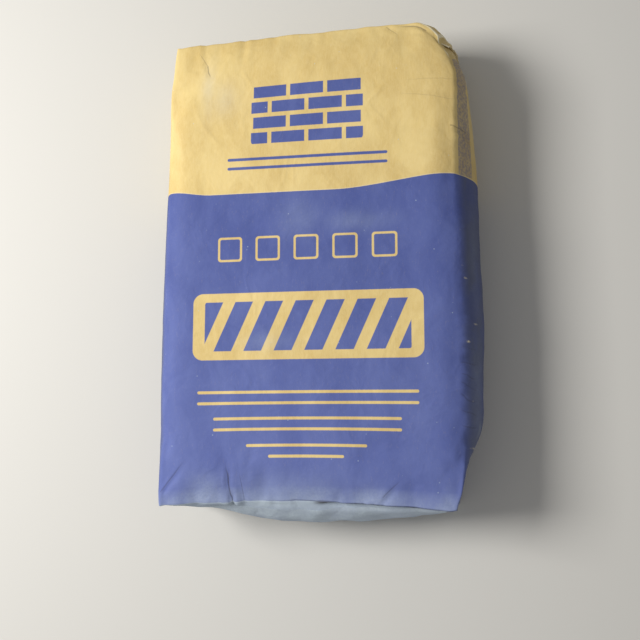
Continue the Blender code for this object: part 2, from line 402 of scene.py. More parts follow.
def vectors_of(items, name):
    """One vector for each item, such as the places of a mesh's points."""
    values = np.empty(len(items) * 3)
    items.foreach_get(name, values)
    return values.reshape(-1, 3)


def mesh_as_shown(thing):
    """A new mesh of an object, with its modifiers applied."""
    return bpy.data.meshes.new_from_object(thing.evaluated_get(bpy.context.evaluated_depsgraph_get()))


def board(name, height, facing_down):
    corners = [(x, y, height) for x, y in np.array(SQUARE) * SACK_LENGTH]
    thing = mesh_object(name, corners, [[3, 2, 1, 0] if facing_down else [0, 1, 2, 3]])
    thing.modifiers.new("stop", "COLLISION")
    thing.collision.thickness_outer = 0.001
    thing.collision.cloth_friction = 5
    return thing


def settled(start, rest, quads):
    """The points after the paper, rippled as at start, has settled to its rest lengths."""
    piece = mesh_object("settling", start, quads)
    piece.shape_key_add(name="Basis")
    key = piece.shape_key_add(name="unfilled")
    key.data.foreach_set("co", rest.ravel())
    cloth = piece.modifiers.new("paper", "CLOTH")
    paper = cloth.settings
    paper.quality = 6
    paper.mass = 0.3
    paper.tension_stiffness = PAPER_STIFFNESS
    paper.compression_stiffness = PAPER_STIFFNESS
    paper.shear_stiffness = PAPER_STIFFNESS / 2
    paper.bending_stiffness = PAPER_BENDING
    paper.tension_damping = PAPER_DAMPING
    paper.compression_damping = PAPER_DAMPING
    paper.shear_damping = PAPER_DAMPING
    paper.use_pressure = True
    paper.uniform_pressure_force = CEMENT_PRESSURE
    paper.effector_weights.gravity = 0
    paper.rest_shape_key = key
    cloth.collision_settings.distance_min = 0.001
    boards = [
        board("floor_board", -BOARD_GAP, False),
        board("top_board", END_WIDTH + FACE_BULGE + BOARD_GAP, True),
    ]
    cloth.point_cache.frame_end = SETTLE_FRAMES
    for number in range(1, SETTLE_FRAMES + 1):
        scene.frame_set(number)
    result = mesh_as_shown(piece)
    points = vectors_of(result.vertices, "co")
    bpy.data.meshes.remove(result)
    for thing in [piece] + boards:
        bpy.data.objects.remove(thing)
    scene.frame_set(1)
    return points


def capped(moved, most):
    length = np.linalg.norm(moved, axis=1, keepdims=True)
    return moved * np.minimum(1, most / np.maximum(length, 1e-9))


settling = capped(settled(rippled, unfilled, box_quads) - filled, MOST_MOVEMENT)
print("moved by up to", round(1000 * np.linalg.norm(settling, axis=1).max(), 1), "mm")

# %% Keep the puckers and part of the swell
SMOOTHING_ROUNDS = 70
SWELL_KEPT = 0.2
SWELL_KEPT_AT_ENDS = 0.6
SIDES_BEGIN = 0.80
PUCKERS_KEPT_AT_TOP = 0.5


def neighbours_of(quads):
    corners = np.array(quads)
    pairs = np.concatenate([corners[:, [i, (i + 1) % 4]] for i in range(4)])
    return np.unique(np.sort(pairs, axis=1), axis=0).T


def smoothed(values, pairs, rounds):
    first, second = np.concatenate((pairs, pairs[::-1]), axis=1)
    count = np.bincount(first, minlength=len(values))
    for _ in range(rounds):
        total = [np.bincount(first, column[second], len(values)) for column in values.T]
        values = (values + np.stack(total, axis=1) / count[:, None]) / 2
    return values


swell = smoothed(settling, neighbours_of(box_quads), SMOOTHING_ROUNDS)
off_sides = 1 - smooth_step(SIDES_BEGIN, 1, np.abs(box_places[:, 0]))
at_bottom = box_places[:, 1] < 0
swell_share = SWELL_KEPT + (SWELL_KEPT_AT_ENDS - SWELL_KEPT) * near_end * off_sides * at_bottom
pucker_share = 1 - (1 - PUCKERS_KEPT_AT_TOP) * near_end * ~at_bottom
paper_points = filled + swell * swell_share[:, None] + (settling - swell) * pucker_share[:, None]
print("settled to", np.ptp(paper_points, axis=0).round(4), "m")

# %% Refine the settled mesh
def store(mesh, name, values):
    """Keeps a number or a vector on each point of a mesh, where materials can read it."""
    kind, field = ("FLOAT", "value") if values.ndim == 1 else ("FLOAT_VECTOR", "vector")
    layer = mesh.attributes.new(name, kind, "POINT")
    layer.data.foreach_set(field, np.ascontiguousarray(values, dtype=np.float32).ravel())


sack = mesh_object("sack_paper", paper_points, box_quads)
store(sack.data, "unfilled_place", unfilled)
refine = sack.modifiers.new("refine", "SUBSURF")
refine.levels = 1
refine.render_levels = 1
refined = mesh_as_shown(sack)
sack.modifiers.clear()
sack.data = refined
refined.name = "sack_paper"
print("refined to", len(refined.vertices), "points")

# %% [markdown]
# ## Find a point on the unfolded sheet
#
# Creases don't stop at a fold, so they are easiest to place on the sheet laid flat, with the sides
# and ends folded out round the front. These coordinates do that: across and along in metres from
# the middle of the front, running on past its edges down the sides and the ends.

# %% Unfold the sheet
TINY = 0.00002
rest = vectors_of(refined.attributes["unfilled_place"].data, "vector")
rest_x, rest_y, rest_z = rest.T
down = END_WIDTH - rest_z
at_side = np.abs(rest_x) > HALF_FACE - TINY
at_end = np.abs(rest_y) > HALF_LENGTH - TINY
on_back = down > END_WIDTH - TINY
folded_down = down[:, None] * np.stack((at_side, at_end & ~at_side), axis=1)
sheet = rest[:, :2] + np.sign(rest[:, :2]) * folded_down
sheet_x, sheet_y = sheet.T
print("points on the back:", on_back.sum())

# %% [markdown]
# ## Press in the creases
#
# A crease is a narrow valley with a low ridge beside it, where the paper was pushed up. Each one
# here is a straight line on the unfolded sheet, deepest where it starts, at an edge. They are mesh
# detail and not a bump, so they catch the light from any side.

# %% Crease the paper
CREASES = (
    # start, end, width, depth
    ((-0.1115, 0.2160), (-0.1290, 0.2570), 0.0018, 0.0013),
    ((-0.1330, 0.262), (-0.1225, 0.226), 0.0040, -0.0007),
    ((-0.0770, 0.262), (-0.0735, 0.206), 0.0034, 0.0009),
    ((-0.0400, 0.262), (-0.0430, 0.236), 0.0040, 0.0005),
    ((0.0160, 0.262), (0.0180, 0.232), 0.0050, 0.0004),
    ((0.0890, 0.2545), (0.1020, 0.2420), 0.0019, 0.0010),
    ((0.0830, 0.2460), (0.0790, 0.2360), 0.0024, 0.0004),
    ((0.1400, 0.2500), (0.0980, 0.2545), 0.0020, 0.0012),
    ((0.1640, 0.1750), (0.0740, 0.1865), 0.0034, 0.0008),
    ((0.1640, 0.1375), (0.0800, 0.1435), 0.0036, 0.0006),
    ((0.1860, 0.1300), (0.1540, 0.1420), 0.0024, 0.0026),
    ((0.1900, 0.2080), (0.1560, 0.2160), 0.0026, 0.0016),
    ((0.1900, 0.1840), (0.1570, 0.1870), 0.0026, 0.0012),
    ((-0.0795, -0.2630), (-0.0870, -0.2000), 0.0014, 0.0026),
    ((-0.0750, -0.2660), (-0.0780, -0.2320), 0.0030, -0.0010),
    ((-0.0880, -0.2660), (-0.0900, -0.2380), 0.0026, -0.0008),
    ((-0.0665, -0.2640), (-0.0710, -0.2310), 0.0026, 0.0009),
    ((-0.0640, -0.2340), (-0.0545, -0.1830), 0.0030, 0.0005),
    ((-0.1565, -0.2430), (-0.1230, -0.2040), 0.0019, 0.0014),
    ((-0.1180, -0.2660), (-0.1220, -0.2360), 0.0032, 0.0006),
    ((-0.0360, -0.2660), (-0.0330, -0.2330), 0.0036, 0.0006),
    ((-0.0100, -0.2660), (-0.0170, -0.2400), 0.0030, 0.0005),
    ((0.0280, -0.2620), (0.0400, -0.2380), 0.0030, 0.0006),
    ((0.0600, -0.2590), (0.0690, -0.2500), 0.0016, -0.0009),
    ((0.0690, -0.2500), (0.0800, -0.2570), 0.0016, -0.0009),
    ((0.0800, -0.2570), (0.0890, -0.2520), 0.0016, -0.0007),
    ((0.0800, -0.2560), (0.0980, -0.2320), 0.0026, 0.0012),
    ((0.1180, -0.2620), (0.1100, -0.2400), 0.0028, 0.0005),
    ((0.1580, -0.2570), (0.1300, -0.2320), 0.0028, 0.0006),
)
RIDGE_SHARE = 0.45
RIDGE_AWAY = 2.1
RIDGE_WIDTH = 1.1
FADES_FROM = 0.35


def near_line(distance, width):
    return np.exp(-(distance / width) ** 2)


def crease_relief(start, end, width, depth):
    """Height over the sheet of one crease, deepest at its start."""
    way = np.array(end) - start
    length = np.hypot(*way)
    along = (sheet - start) @ way / length
    beside = (sheet - start) @ np.array((-way[1], way[0])) / length
    strength = smooth_step(-width, width, along) * (1 - smooth_step(FADES_FROM * length, length, along))
    ridge = near_line(beside - RIDGE_AWAY * width, RIDGE_WIDTH * width)
    return depth * strength * (RIDGE_SHARE * ridge - near_line(beside, width))


relief = np.zeros(len(rest))
for crease in CREASES:
    relief += crease_relief(*crease)
relief[on_back] = 0
print(len(CREASES), "creases, up to", round(1000 * np.abs(relief).max(), 2), "mm")

# %% [markdown]
# ## Crumple the sides
#
# As a sack is filled and stacked its sides get shorter, and the paper there buckles into short
# ribs that run round the sack. Noise stretched along the ribs, and folded to sharp ridges, gives
# them. A slow wave over the whole sheet and a fine unevenness keep the faces from looking machined.

# %% Add ribs, waves and unevenness
RIB_HEIGHT = 0.0023
RIB_PLACES = ((0.158, 0.168), (0.180, 0.200))
RIB_LENGTHWAYS = ((-0.225, -0.180), (-0.060, 0.060))
LEFT_RIB_SHARE = 0.08
FEW_RIBS_SHARE = 0.35
LONG_RIB_SHARE = 0.65
RIBS_LEVEL = 0.3
SLOW_WAVE = 0.0007
UNEVENNESS = 0.00016


def ridged(points, scale, seed):
    """Noise folded so that it has sharp ridges, from 0 to 1."""
    return (1 - np.minimum(1, 2.2 * np.abs(noise_field(points, scale, seed)))) ** 2


def band(value, rise, fall):
    return smooth_step(*rise, value) * (1 - smooth_step(*fall, value))


flat_sheet = np.column_stack((sheet, np.zeros(len(sheet))))
shear = np.array([[1, 0, 0], [0.35, 1, 0], [0, 0, 1]])
long_ribs = ridged(flat_sheet @ shear, (0.050, 0.0085, 1), 3)
short_ribs = ridged(flat_sheet, (0.022, 0.0055, 1), 4)
ribs = LONG_RIB_SHARE * long_ribs + (1 - LONG_RIB_SHARE) * short_ribs
beside_fold = band(np.abs(sheet_x), *RIB_PLACES) * np.where(sheet_x > 0, 1, LEFT_RIB_SHARE)
on_shoulder = beside_fold * band(sheet_y, *RIB_LENGTHWAYS)
few_ribs = beside_fold - on_shoulder
relief += RIB_HEIGHT * (ribs - RIBS_LEVEL) * (on_shoulder + FEW_RIBS_SHARE * few_ribs) * ~at_end
relief += SLOW_WAVE * noise_field(rest, (0.085, 0.110, 0.085), 5)
relief += UNEVENNESS * noise_field(rest, (0.011, 0.016, 0.011), 6)
print("ribs up to", round(1000 * (RIB_HEIGHT * ribs * on_shoulder).max(), 2), "mm")

# %% [markdown]
# ## Fold lines on the ends
#
# A square end is made by opening the tube, so each corner folds in along two diagonals, and the two
# long flaps overlap in the middle. The cover sheet hides the flaps, but their edges show through.
# The tube's own glued seam is a low step along the back.

# %% Add the folds of the ends and the seam
DIAGONAL_HEIGHT = 0.0007
FLAP_HEIGHT = 0.0006
FLAP_EDGE_UP = 0.040
SEAM_FROM = 0.035
SEAM_TO = 0.065
SEAM_STEP = 0.003
SEAM_HEIGHT = 0.0005
FOLD_WIDTH = 0.0028

mid_height = END_WIDTH / 2
up_from_middle = rest_z - mid_height
from_corner = HALF_FACE - np.abs(rest_x) - (mid_height - np.abs(up_from_middle))
diagonal = near_line(from_corner, FOLD_WIDTH) * (HALF_FACE - np.abs(rest_x) < mid_height)
flap_edge = 1 - smooth_step(-FOLD_WIDTH, FOLD_WIDTH, rest_z - FLAP_EDGE_UP)
relief += at_end * (DIAGONAL_HEIGHT * diagonal + FLAP_HEIGHT * flap_edge)
on_seam = band(rest_x, (SEAM_FROM, SEAM_FROM + SEAM_STEP), (SEAM_TO, SEAM_TO + SEAM_STEP))
relief += on_back * SEAM_HEIGHT * on_seam
shaped = vectors_of(refined.vertices, "co") + vectors_of(refined.vertex_normals, "vector") * relief[:, None]

# %% [markdown]
# ## The lip, the bevel and the crushed corner
#
# Four places were pushed about more than a crease. At the bottom right the front hangs over the end
# as a lip. The left of the bottom end is pressed in. Along the top the fold is rolled back to a
# bevel. The top right corner, where the valve is, was crushed when the sack was filled or dropped.
# Each is a smooth move with a limit.

# %% Shape the lip, the bevel and the crushed corner
LIP_FROM_TO = ((0.004, 0.040), (0.150, 0.164))
LIP_OUT = 0.0030
LIP_REACH = 0.010
LIP_TURNS_UNDER = 0.0035
GROOVE_DEPTH = 0.0075
GROOVE_DOWN = 0.0055
GROOVE_WIDTH = 0.0045
BEVEL_FROM_TO = ((-0.030, 0.030), (0.130, 0.165))
BEVEL_DROP = 0.0012
BEVEL_REACH = 0.010
HELD_IN = 0.0085
HELD_IN_AT = -0.114
HELD_IN_WIDTH = 0.046
CORNER_RUN = np.array((0.044, 0.060))
CORNER_ROUNDING = 0.82
CORNER_DEPTH = 0.045
EDGE_ROUNDING = 0.34
EDGE_DEPTH = 0.008
CORNER_DROP = 0.0032

past_bottom = -HALF_LENGTH - sheet_y
lip_share = band(rest_x, *LIP_FROM_TO) * ~on_back
lip = near_line(np.minimum(past_bottom, 0), LIP_REACH) * (past_bottom <= LIP_TURNS_UNDER)
groove = near_line(past_bottom - GROOVE_DOWN, GROOVE_WIDTH) * at_end * (sheet_y < 0)
shaped[:, 1] += lip_share * (GROOVE_DEPTH * groove - LIP_OUT * lip)
held = near_line(rest_x - HELD_IN_AT, HELD_IN_WIDTH) * np.sin(math.pi * rest_z / END_WIDTH)
shaped[:, 1] += HELD_IN * held * at_end * (rest_y < 0)
from_top = HALF_LENGTH - sheet_y
bevel = band(rest_x, *BEVEL_FROM_TO) * near_line(from_top, BEVEL_REACH) * ~on_back
shaped[:, 2] -= BEVEL_DROP * bevel


def crushed(points):
    """Points moved as the corner was: from square to round, most at the front, and down."""
    corner = np.array((HALF_FACE + ENDS_MIDDLE.x, HALF_LENGTH))
    square = np.clip((points[:, :2] - corner) / CORNER_RUN + 1, 0, 1)
    disc = square * np.sqrt(1 - square[:, ::-1] ** 2 / 2)
    depth = np.maximum(0, END_WIDTH - points[:, 2])
    edge_share = EDGE_ROUNDING * near_line(depth, EDGE_DEPTH)
    share = near_line(depth, CORNER_DEPTH)
    move = (CORNER_ROUNDING * share + edge_share)[:, None] * (disc - square) * CORNER_RUN
    drop = -CORNER_DROP * share * square.prod(axis=1) ** 2
    return points + np.column_stack((move, drop))


shaped = crushed(shaped)
LOWEST = 0.0003
shaped[:, 2] = np.maximum(shaped[:, 2], LOWEST)
refined.vertices.foreach_set("co", shaped.ravel())
refined.update()
print("shaped to", np.ptp(shaped, axis=0).round(4), "m")

# %% [markdown]
# ## Where is the paper rubbed?
#
# Ink and the smooth skin of the paper rub off where the sack is touched most: along its folds, on
# its ribs and at its corners. A mask computed here, and stored on the points, tells the finish how
# much is worn. It could be a Pointiness node, but that reads only the mesh's finest detail.

# %% Store the wear
FOLD_WEAR_WIDTH = 0.0015
CORNER_WEAR_WIDTH = 0.0019
CORNER_WEAR = 2.0
SIDE_WORN_FROM = (0.214, 0.236)
WORN_DOWN_TO = (0.300, 0.400)
TOP_WORN_FROM = (0.118, 0.142)
LEFT_WEAR = 0.36
RIB_WEAR = 0.66
RIB_WORN_FROM = (0.55, 0.95)
FEW_RIBS_WEAR = 0.3
SCRATCHES = (
    # start, end, width, strength
    ((0.1640, -0.0060), (0.1700, -0.0080), 0.0011, 0.36),
    ((0.1670, -0.0185), (0.1715, -0.0205), 0.0013, 0.42),
    ((0.1750, -0.0280), (0.1785, -0.0300), 0.0011, 0.34),
    ((0.1620, 0.0330), (0.1660, 0.0310), 0.0010, 0.32),
    ((0.1710, -0.1120), (0.1760, -0.1140), 0.0011, 0.36),
    ((0.1680, -0.1440), (0.1740, -0.1465), 0.0012, 0.38),
)

broken = 0.55 + 0.45 * noise_field(rest, (0.012, 0.012, 0.012), 7)
side_fold = near_line(np.abs(sheet_x) - HALF_FACE, FOLD_WEAR_WIDTH)
left_wear = LEFT_WEAR * side_fold * (sheet_x < 0)
by_side = near_line(np.abs(sheet_x) - HALF_FACE, CORNER_WEAR_WIDTH) * (sheet_x > 0)
by_top = near_line(np.abs(sheet_y) - HALF_LENGTH, CORNER_WEAR_WIDTH) * (sheet_y > 0)
corner_wear = CORNER_WEAR * by_side * band(sheet_y, SIDE_WORN_FROM, WORN_DOWN_TO)
top_wear = CORNER_WEAR * by_top * smooth_step(*TOP_WORN_FROM, sheet_x)
rib_wear = RIB_WEAR * smooth_step(*RIB_WORN_FROM, ribs) * (on_shoulder + FEW_RIBS_WEAR * few_ribs)
wear = np.maximum.reduce([left_wear, corner_wear, top_wear, rib_wear])
wear *= np.clip(broken, 0.1, 1)
for start, end, width, strength in SCRATCHES:
    way = np.array(end) - start
    share = np.clip((sheet - start) @ way / (way @ way), 0, 1)
    beside = np.linalg.norm(sheet - start - share[:, None] * way, axis=1)
    wear = np.maximum(wear, strength * near_line(beside, width))
wear = np.clip(wear, 0, 1) * ~on_back
store(refined, "wear", wear)
print("worn points:", (wear > 0.3).sum())

# %% [markdown]
# ## Where did dust and hands leave marks?
#
# Besides the even film there are soft pale smudges, where a dusty hand or another sack rubbed the
# front, and a dusty patch at the bottom right corner. They are far wider than the mesh's squares, so
# they are stored on its points too, and the dust group breaks them up with its noise.

# %% Store the smudges
SMUDGES = (
    # middle, half size, strength
    ((-0.112, 0.198), (0.008, 0.028), 0.20),
    ((-0.094, 0.190), (0.016, 0.020), 0.16),
    ((-0.006, 0.050), (0.022, 0.020), 0.10),
    ((0.052, 0.044), (0.032, 0.011), 0.13),
    ((-0.038, -0.083), (0.034, 0.010), 0.10),
    ((-0.105, -0.243), (0.024, 0.017), 0.20),
    ((-0.030, -0.246), (0.062, 0.018), 0.19),
    ((0.147, -0.246), (0.009, 0.014), 0.08),
    ((0.070, -0.250), (0.030, 0.012), 0.12),
    ((0.190, -0.176), (0.007, 0.010), 0.22),
    ((0.183, -0.140), (0.012, 0.055), 0.12),
    ((0.183, -0.010), (0.008, 0.070), 0.06),
)

smudged = np.zeros(len(rest))
for middle, half, strength in SMUDGES:
    away = np.linalg.norm((sheet - middle) / half, axis=1)
    smudged = np.maximum(smudged, strength * near_line(away, 1))
smudged[on_back] = 0
store(refined, "smudge", smudged)
print("smudged points:", (smudged > 0.05).sum())

# %% [markdown]
# ## The cover sheets
#
# A sheet of paper is glued over each folded end. It lies on the end like a skin, so it is made from
# the end's own squares, inside a margin, lifted by the glue and given the thickness of paper.

# %% Lay the cover sheets
COVER_SIDE_MARGIN = 0.012
COVER_FACE_MARGIN = 0.009
COVER_LIFT = 0.0001
COVER_THICKNESS = 0.00012


def shade(mesh, sharp_degrees):
    mesh.shade_smooth()
    mesh.set_sharp_from_angle(angle=math.radians(sharp_degrees))


def lay_sheet(name, chosen):
    """A thin sheet lying on the sack, over the squares whose corners are all chosen."""
    normals = vectors_of(refined.vertex_normals, "vector")
    corners = np.empty(len(refined.polygons) * 4, dtype=int)
    refined.polygons.foreach_get("vertices", corners)
    corners = corners.reshape(-1, 4)
    kept = corners[chosen[corners].all(axis=1)]
    used, numbers = np.unique(kept, return_inverse=True)
    points = shaped[used] + normals[used] * COVER_LIFT
    piece = mesh_object(name, points, numbers.reshape(-1, 4).tolist())
    store(piece.data, "unfilled_place", rest[used])
    store(piece.data, "wear", wear[used])
    thick = piece.modifiers.new("thickness", "SOLIDIFY")
    thick.thickness = COVER_THICKNESS
    thick.offset = 1
    made = mesh_as_shown(piece)
    piece.modifiers.clear()
    piece.data = made
    made.name = name
    shade(made, 50)
    return piece


inside_cover = (
    (np.abs(rest_x) < HALF_FACE - COVER_SIDE_MARGIN + TINY)
    & (np.abs(up_from_middle) < mid_height - COVER_FACE_MARGIN + TINY)
)
bottom_cover = lay_sheet("bottom_cover", inside_cover & at_end & (rest_y < 0))
top_cover = lay_sheet("top_cover", inside_cover & at_end & (rest_y > 0))
print("cover sheets of", len(bottom_cover.data.polygons), "and", len(top_cover.data.polygons), "faces")

# %% [markdown]
# ## The valve's mouth
#
# The sack is filled through a flat sleeve of paper in its top right corner. Only the sleeve's mouth
# stands out: two plies of pale paper pressed together. It was crushed along with the corner, so its
# points go through the same move. It is drawn as a narrow loop, swept from front to back.

# %% Make the valve's mouth
SLEEVE_LOW, SLEEVE_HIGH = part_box("valve_sleeve")
MOUTH_IN = 0.004
MOUTH_HIDDEN = 0.010
MOUTH_BOTTOM = 0.004
MOUTH_STEPS_UP = 28
PLY_THICKNESS = 0.00055
MOUTH_GAPE = 0.0007
MOUTH_WAVE = 0.0003
MOUTH_RAGGEDNESS = 0.0003
MOUTH_WEAR = 0.45
MOUTH_WEAR_REACH = 0.0015


def make_valve_mouth():
    middle_y = (SLEEVE_LOW[1] + SLEEVE_HIGH[1]) / 2
    outer_x = SLEEVE_HIGH[0]
    inner_x = outer_x - MOUTH_IN - MOUTH_HIDDEN
    rows = []
    for step in range(MOUTH_STEPS_UP + 1):
        share = step / MOUTH_STEPS_UP
        z = SLEEVE_LOW[2] + share * (SLEEVE_HIGH[2] - SLEEVE_LOW[2])
        gape = MOUTH_GAPE * math.sin(math.pi * share)
        wave = MOUTH_WAVE * math.sin(9 * share) * math.sin(math.pi * share)
        reach = outer_x + MOUTH_RAGGEDNESS * math.sin(23 * share)
        row = [
            (inner_x, middle_y - PLY_THICKNESS, z),
            (reach, middle_y - PLY_THICKNESS - gape + wave, z),
            (reach, middle_y - gape + wave, z),
            (inner_x + MOUTH_BOTTOM, middle_y, z),
            (reach, middle_y + gape + wave, z),
            (reach, middle_y + PLY_THICKNESS + gape + wave, z),
            (inner_x, middle_y + PLY_THICKNESS, z),
        ]
        rows.append(row)
    width = len(rows[0])
    points = np.array([point for row in rows for point in row])
    quads = []
    for step in range(MOUTH_STEPS_UP):
        for i in range(width):
            near, far = step * width + i, step * width + (i + 1) % width
            quads.append((near, far, far + width, near + width))
    low_cap = tuple(range(width))[::-1]
    high_cap = tuple(range(MOUTH_STEPS_UP * width, (MOUTH_STEPS_UP + 1) * width))
    mouth = mesh_object("valve_mouth", crushed(points), quads + [low_cap, high_cap])
    made = bmesh.new()
    made.from_mesh(mouth.data)
    bmesh.ops.recalc_face_normals(made, faces=made.faces)
    made.to_mesh(mouth.data)
    made.free()
    shade(mouth.data, 40)
    store(mouth.data, "unfilled_place", points)
    store(mouth.data, "wear", MOUTH_WEAR * smooth_step(outer_x - MOUTH_WEAR_REACH, outer_x, points[:, 0]))
    return mouth


valve_mouth = make_valve_mouth()
print("the mouth is", round(1000 * (SLEEVE_HIGH[2] - SLEEVE_LOW[2])), "mm long")

# %% [markdown]
# ## Shader helpers
#
# Every finish below is made of nodes, so that it has detail at any distance. These helpers add a
# node, wire its inputs, and make a node group with named sockets that several finishes share.

# %% Make helpers for nodes
FLOAT = "NodeSocketFloat"
VECTOR = "NodeSocketVector"


def wire(tree, value, socket):
    if isinstance(value, bpy.types.NodeSocket):
        tree.links.new(value, socket)
    else:
        socket.default_value = value


def add_node(tree, kind, inputs=None, **settings):
    made = tree.nodes.new(kind)
    for name, value in settings.items():
        setattr(made, name, value)
    for key, value in (inputs or {}).items():
        wire(tree, value, made.inputs[key])
    return made


def maths(tree, operation, *values):
    made = add_node(tree, "ShaderNodeMath", dict(enumerate(values)), operation=operation)
    return made.outputs[0]


def product(tree, result, *others):
    for value in others:
        result = maths(tree, "MULTIPLY", result, value)
    return result


def largest(tree, result, *others):
    for value in others:
        result = maths(tree, "MAXIMUM", result, value)
    return result


def inverse(tree, value):
    return maths(tree, "SUBTRACT", 1.0, value)


def mix_colour(tree, share, first, second):
    made = add_node(tree, "ShaderNodeMix", data_type="RGBA")
    for socket, value in zip((made.inputs[0], made.inputs[6], made.inputs[7]), (share, first, second)):
        wire(tree, value, socket)
    return made.outputs[2]


def remap(tree, value, from_low, from_high, to_low=0.0, to_high=1.0):
    inputs = {0: value, 1: from_low, 2: from_high, 3: to_low, 4: to_high}
    return add_node(tree, "ShaderNodeMapRange", inputs, interpolation_type="SMOOTHSTEP").outputs[0]


def noise_node(tree, place, scale, detail, roughness=0.5, distortion=0.0):
    return add_node(tree, "ShaderNodeTexNoise", {
        "Vector": place, "Scale": scale, "Detail": detail, "Roughness": roughness, "Distortion": distortion,
    }).outputs["Fac"]


def wandering(tree, place, *settings):
    """Noise round 0, which makes a line wander or an edge ragged."""
    return maths(tree, "SUBTRACT", noise_node(tree, place, *settings), 0.5)


def from_half(tree, value):
    """How far a value lies from a half, on either side."""
    return maths(tree, "ABSOLUTE", maths(tree, "SUBTRACT", value, 0.5))


def within(tree, value, rise_from, rise_to, fall_from, fall_to):
    """1 between two places, with a soft rise before and a soft fall after."""
    falling = remap(tree, value, fall_from, fall_to, 1.0, 0.0)
    return product(tree, remap(tree, value, rise_from, rise_to), falling)


def stored(tree, name):
    return add_node(tree, "ShaderNodeAttribute", attribute_name=name).outputs


def stretched(tree, place, factors):
    return add_node(tree, "ShaderNodeVectorMath", {0: place, 1: factors}, operation="MULTIPLY").outputs[0]


def new_group(name, inputs, outputs):
    """(tree, its input sockets, its output node) of a group; inputs are (name, kind, value)."""
    tree = bpy.data.node_groups.new(name, "ShaderNodeTree")
    for label, kind, value in inputs:
        socket = tree.interface.new_socket(name=label, in_out="INPUT", socket_type=kind)
        if value is not None:
            socket.default_value = value
    for label, kind in outputs:
        tree.interface.new_socket(name=label, in_out="OUTPUT", socket_type=kind)
    return tree, tree.nodes.new("NodeGroupInput").outputs, tree.nodes.new("NodeGroupOutput")


def use_group(tree, group, **values):
    made = tree.nodes.new("ShaderNodeGroup")
    made.node_tree = group
    for label, value in values.items():
        wire(tree, value, made.inputs[label.replace("_", " ")])
    return made.outputs


print("node helpers ready")

# %% [markdown]
# ## Where on the paper?
#
# The print, the fibres and the dust all need to know where on the unfilled sack a point lies. This
# group reads the stored place. It gives the distance round the tube from the middle of the front,
# the distance along it, how far the point is from the bottom end, and a mask for the ends.

# %% Make the group of places
END_BAND = 0.0004


def make_places_group():
    tree, _, out = new_group("Places on the sack", [], [
        ("Place", VECTOR), ("Across", FLOAT), ("Round", FLOAT), ("Along", FLOAT),
        ("Down", FLOAT), ("From Bottom", FLOAT), ("On End", FLOAT),
    ])
    place = stored(tree, "unfilled_place")["Vector"]
    across, along, up = add_node(tree, "ShaderNodeSeparateXYZ", {0: place}).outputs
    down = maths(tree, "SUBTRACT", END_WIDTH, up)
    distance = maths(tree, "ADD", maths(tree, "ABSOLUTE", across), down)
    from_bottom = maths(tree, "ADD", along, HALF_LENGTH)
    from_end = maths(tree, "SUBTRACT", HALF_LENGTH, maths(tree, "ABSOLUTE", along))
    for label, value in (
        ("Place", place), ("Across", across), ("Along", along), ("Down", down),
        ("Round", product(tree, distance, maths(tree, "SIGN", across))),
        ("From Bottom", from_bottom), ("On End", maths(tree, "LESS_THAN", from_end, END_BAND)),
    ):
        wire(tree, value, out.inputs[label])
    return tree


places_group = make_places_group()
print("group:", places_group.name)

# %% [markdown]
# ## The printed design
#
# The print is a plain one of its own: a blue field with a sloping edge, a patch of brickwork, a
# panel of slanted bars, a row of squares and some thin rules. Each is a mask made by arithmetic on
# the paper's places, which stays crisp at any size, where a painted image would blur.

# %% Make the block and brickwork groups
INK_SOFTNESS = 0.0004
BRICK_SOFTNESS = 0.0003


def make_block_group():
    """A rectangle with round corners: 1 inside, 0 outside."""
    tree, given, out = new_group("Printed block", [
        ("Across", FLOAT, 0.0), ("Along", FLOAT, 0.0), ("Middle Across", FLOAT, 0.0),
        ("Middle Along", FLOAT, 0.0), ("Half Width", FLOAT, 0.05), ("Half Height", FLOAT, 0.02),
        ("Corner", FLOAT, 0.004),
    ], [("Mask", FLOAT)])
    squares = []
    for place, half in (("Across", "Half Width"), ("Along", "Half Height")):
        away = maths(tree, "ABSOLUTE", maths(tree, "SUBTRACT", given[place], given["Middle " + place]))
        inner = maths(tree, "SUBTRACT", given[half], given["Corner"])
        beyond = maths(tree, "MAXIMUM", maths(tree, "SUBTRACT", away, inner), 0.0)
        squares.append(maths(tree, "POWER", beyond, 2.0))
    distance = maths(tree, "SQRT", maths(tree, "ADD", *squares))
    depth = maths(tree, "SUBTRACT", given["Corner"], distance)
    wire(tree, remap(tree, depth, -INK_SOFTNESS, INK_SOFTNESS), out.inputs["Mask"])
    return tree


def make_brickwork_group():
    """Rows of bricks, each row shifted by half a brick: 1 on a brick, 0 on a joint."""
    tree, given, out = new_group("Printed brickwork", [
        ("Across", FLOAT, 0.0), ("Along", FLOAT, 0.0), ("Brick Length", FLOAT, 0.03),
        ("Brick Height", FLOAT, 0.015), ("Joint", FLOAT, 0.004),
    ], [("Mask", FLOAT)])
    row_place = maths(tree, "DIVIDE", given["Along"], given["Brick Height"])
    odd_row = maths(tree, "MODULO", maths(tree, "ABSOLUTE", maths(tree, "FLOOR", row_place)), 2.0)
    brick_place = maths(tree, "DIVIDE", given["Across"], given["Brick Length"])
    brick_place = maths(tree, "MULTIPLY_ADD", odd_row, 0.5, brick_place)
    masks = []
    for place, size in ((row_place, "Brick Height"), (brick_place, "Brick Length")):
        off_middle = from_half(tree, maths(tree, "FRACT", place))
        to_edge = product(tree, maths(tree, "SUBTRACT", 0.5, off_middle), given[size])
        past_joint = maths(tree, "SUBTRACT", to_edge, product(tree, given["Joint"], 0.5))
        masks.append(remap(tree, past_joint, -BRICK_SOFTNESS, BRICK_SOFTNESS))
    wire(tree, product(tree, *masks), out.inputs["Mask"])
    return tree


block_group = make_block_group()
brickwork_group = make_brickwork_group()
print("groups:", block_group.name, "and", brickwork_group.name)

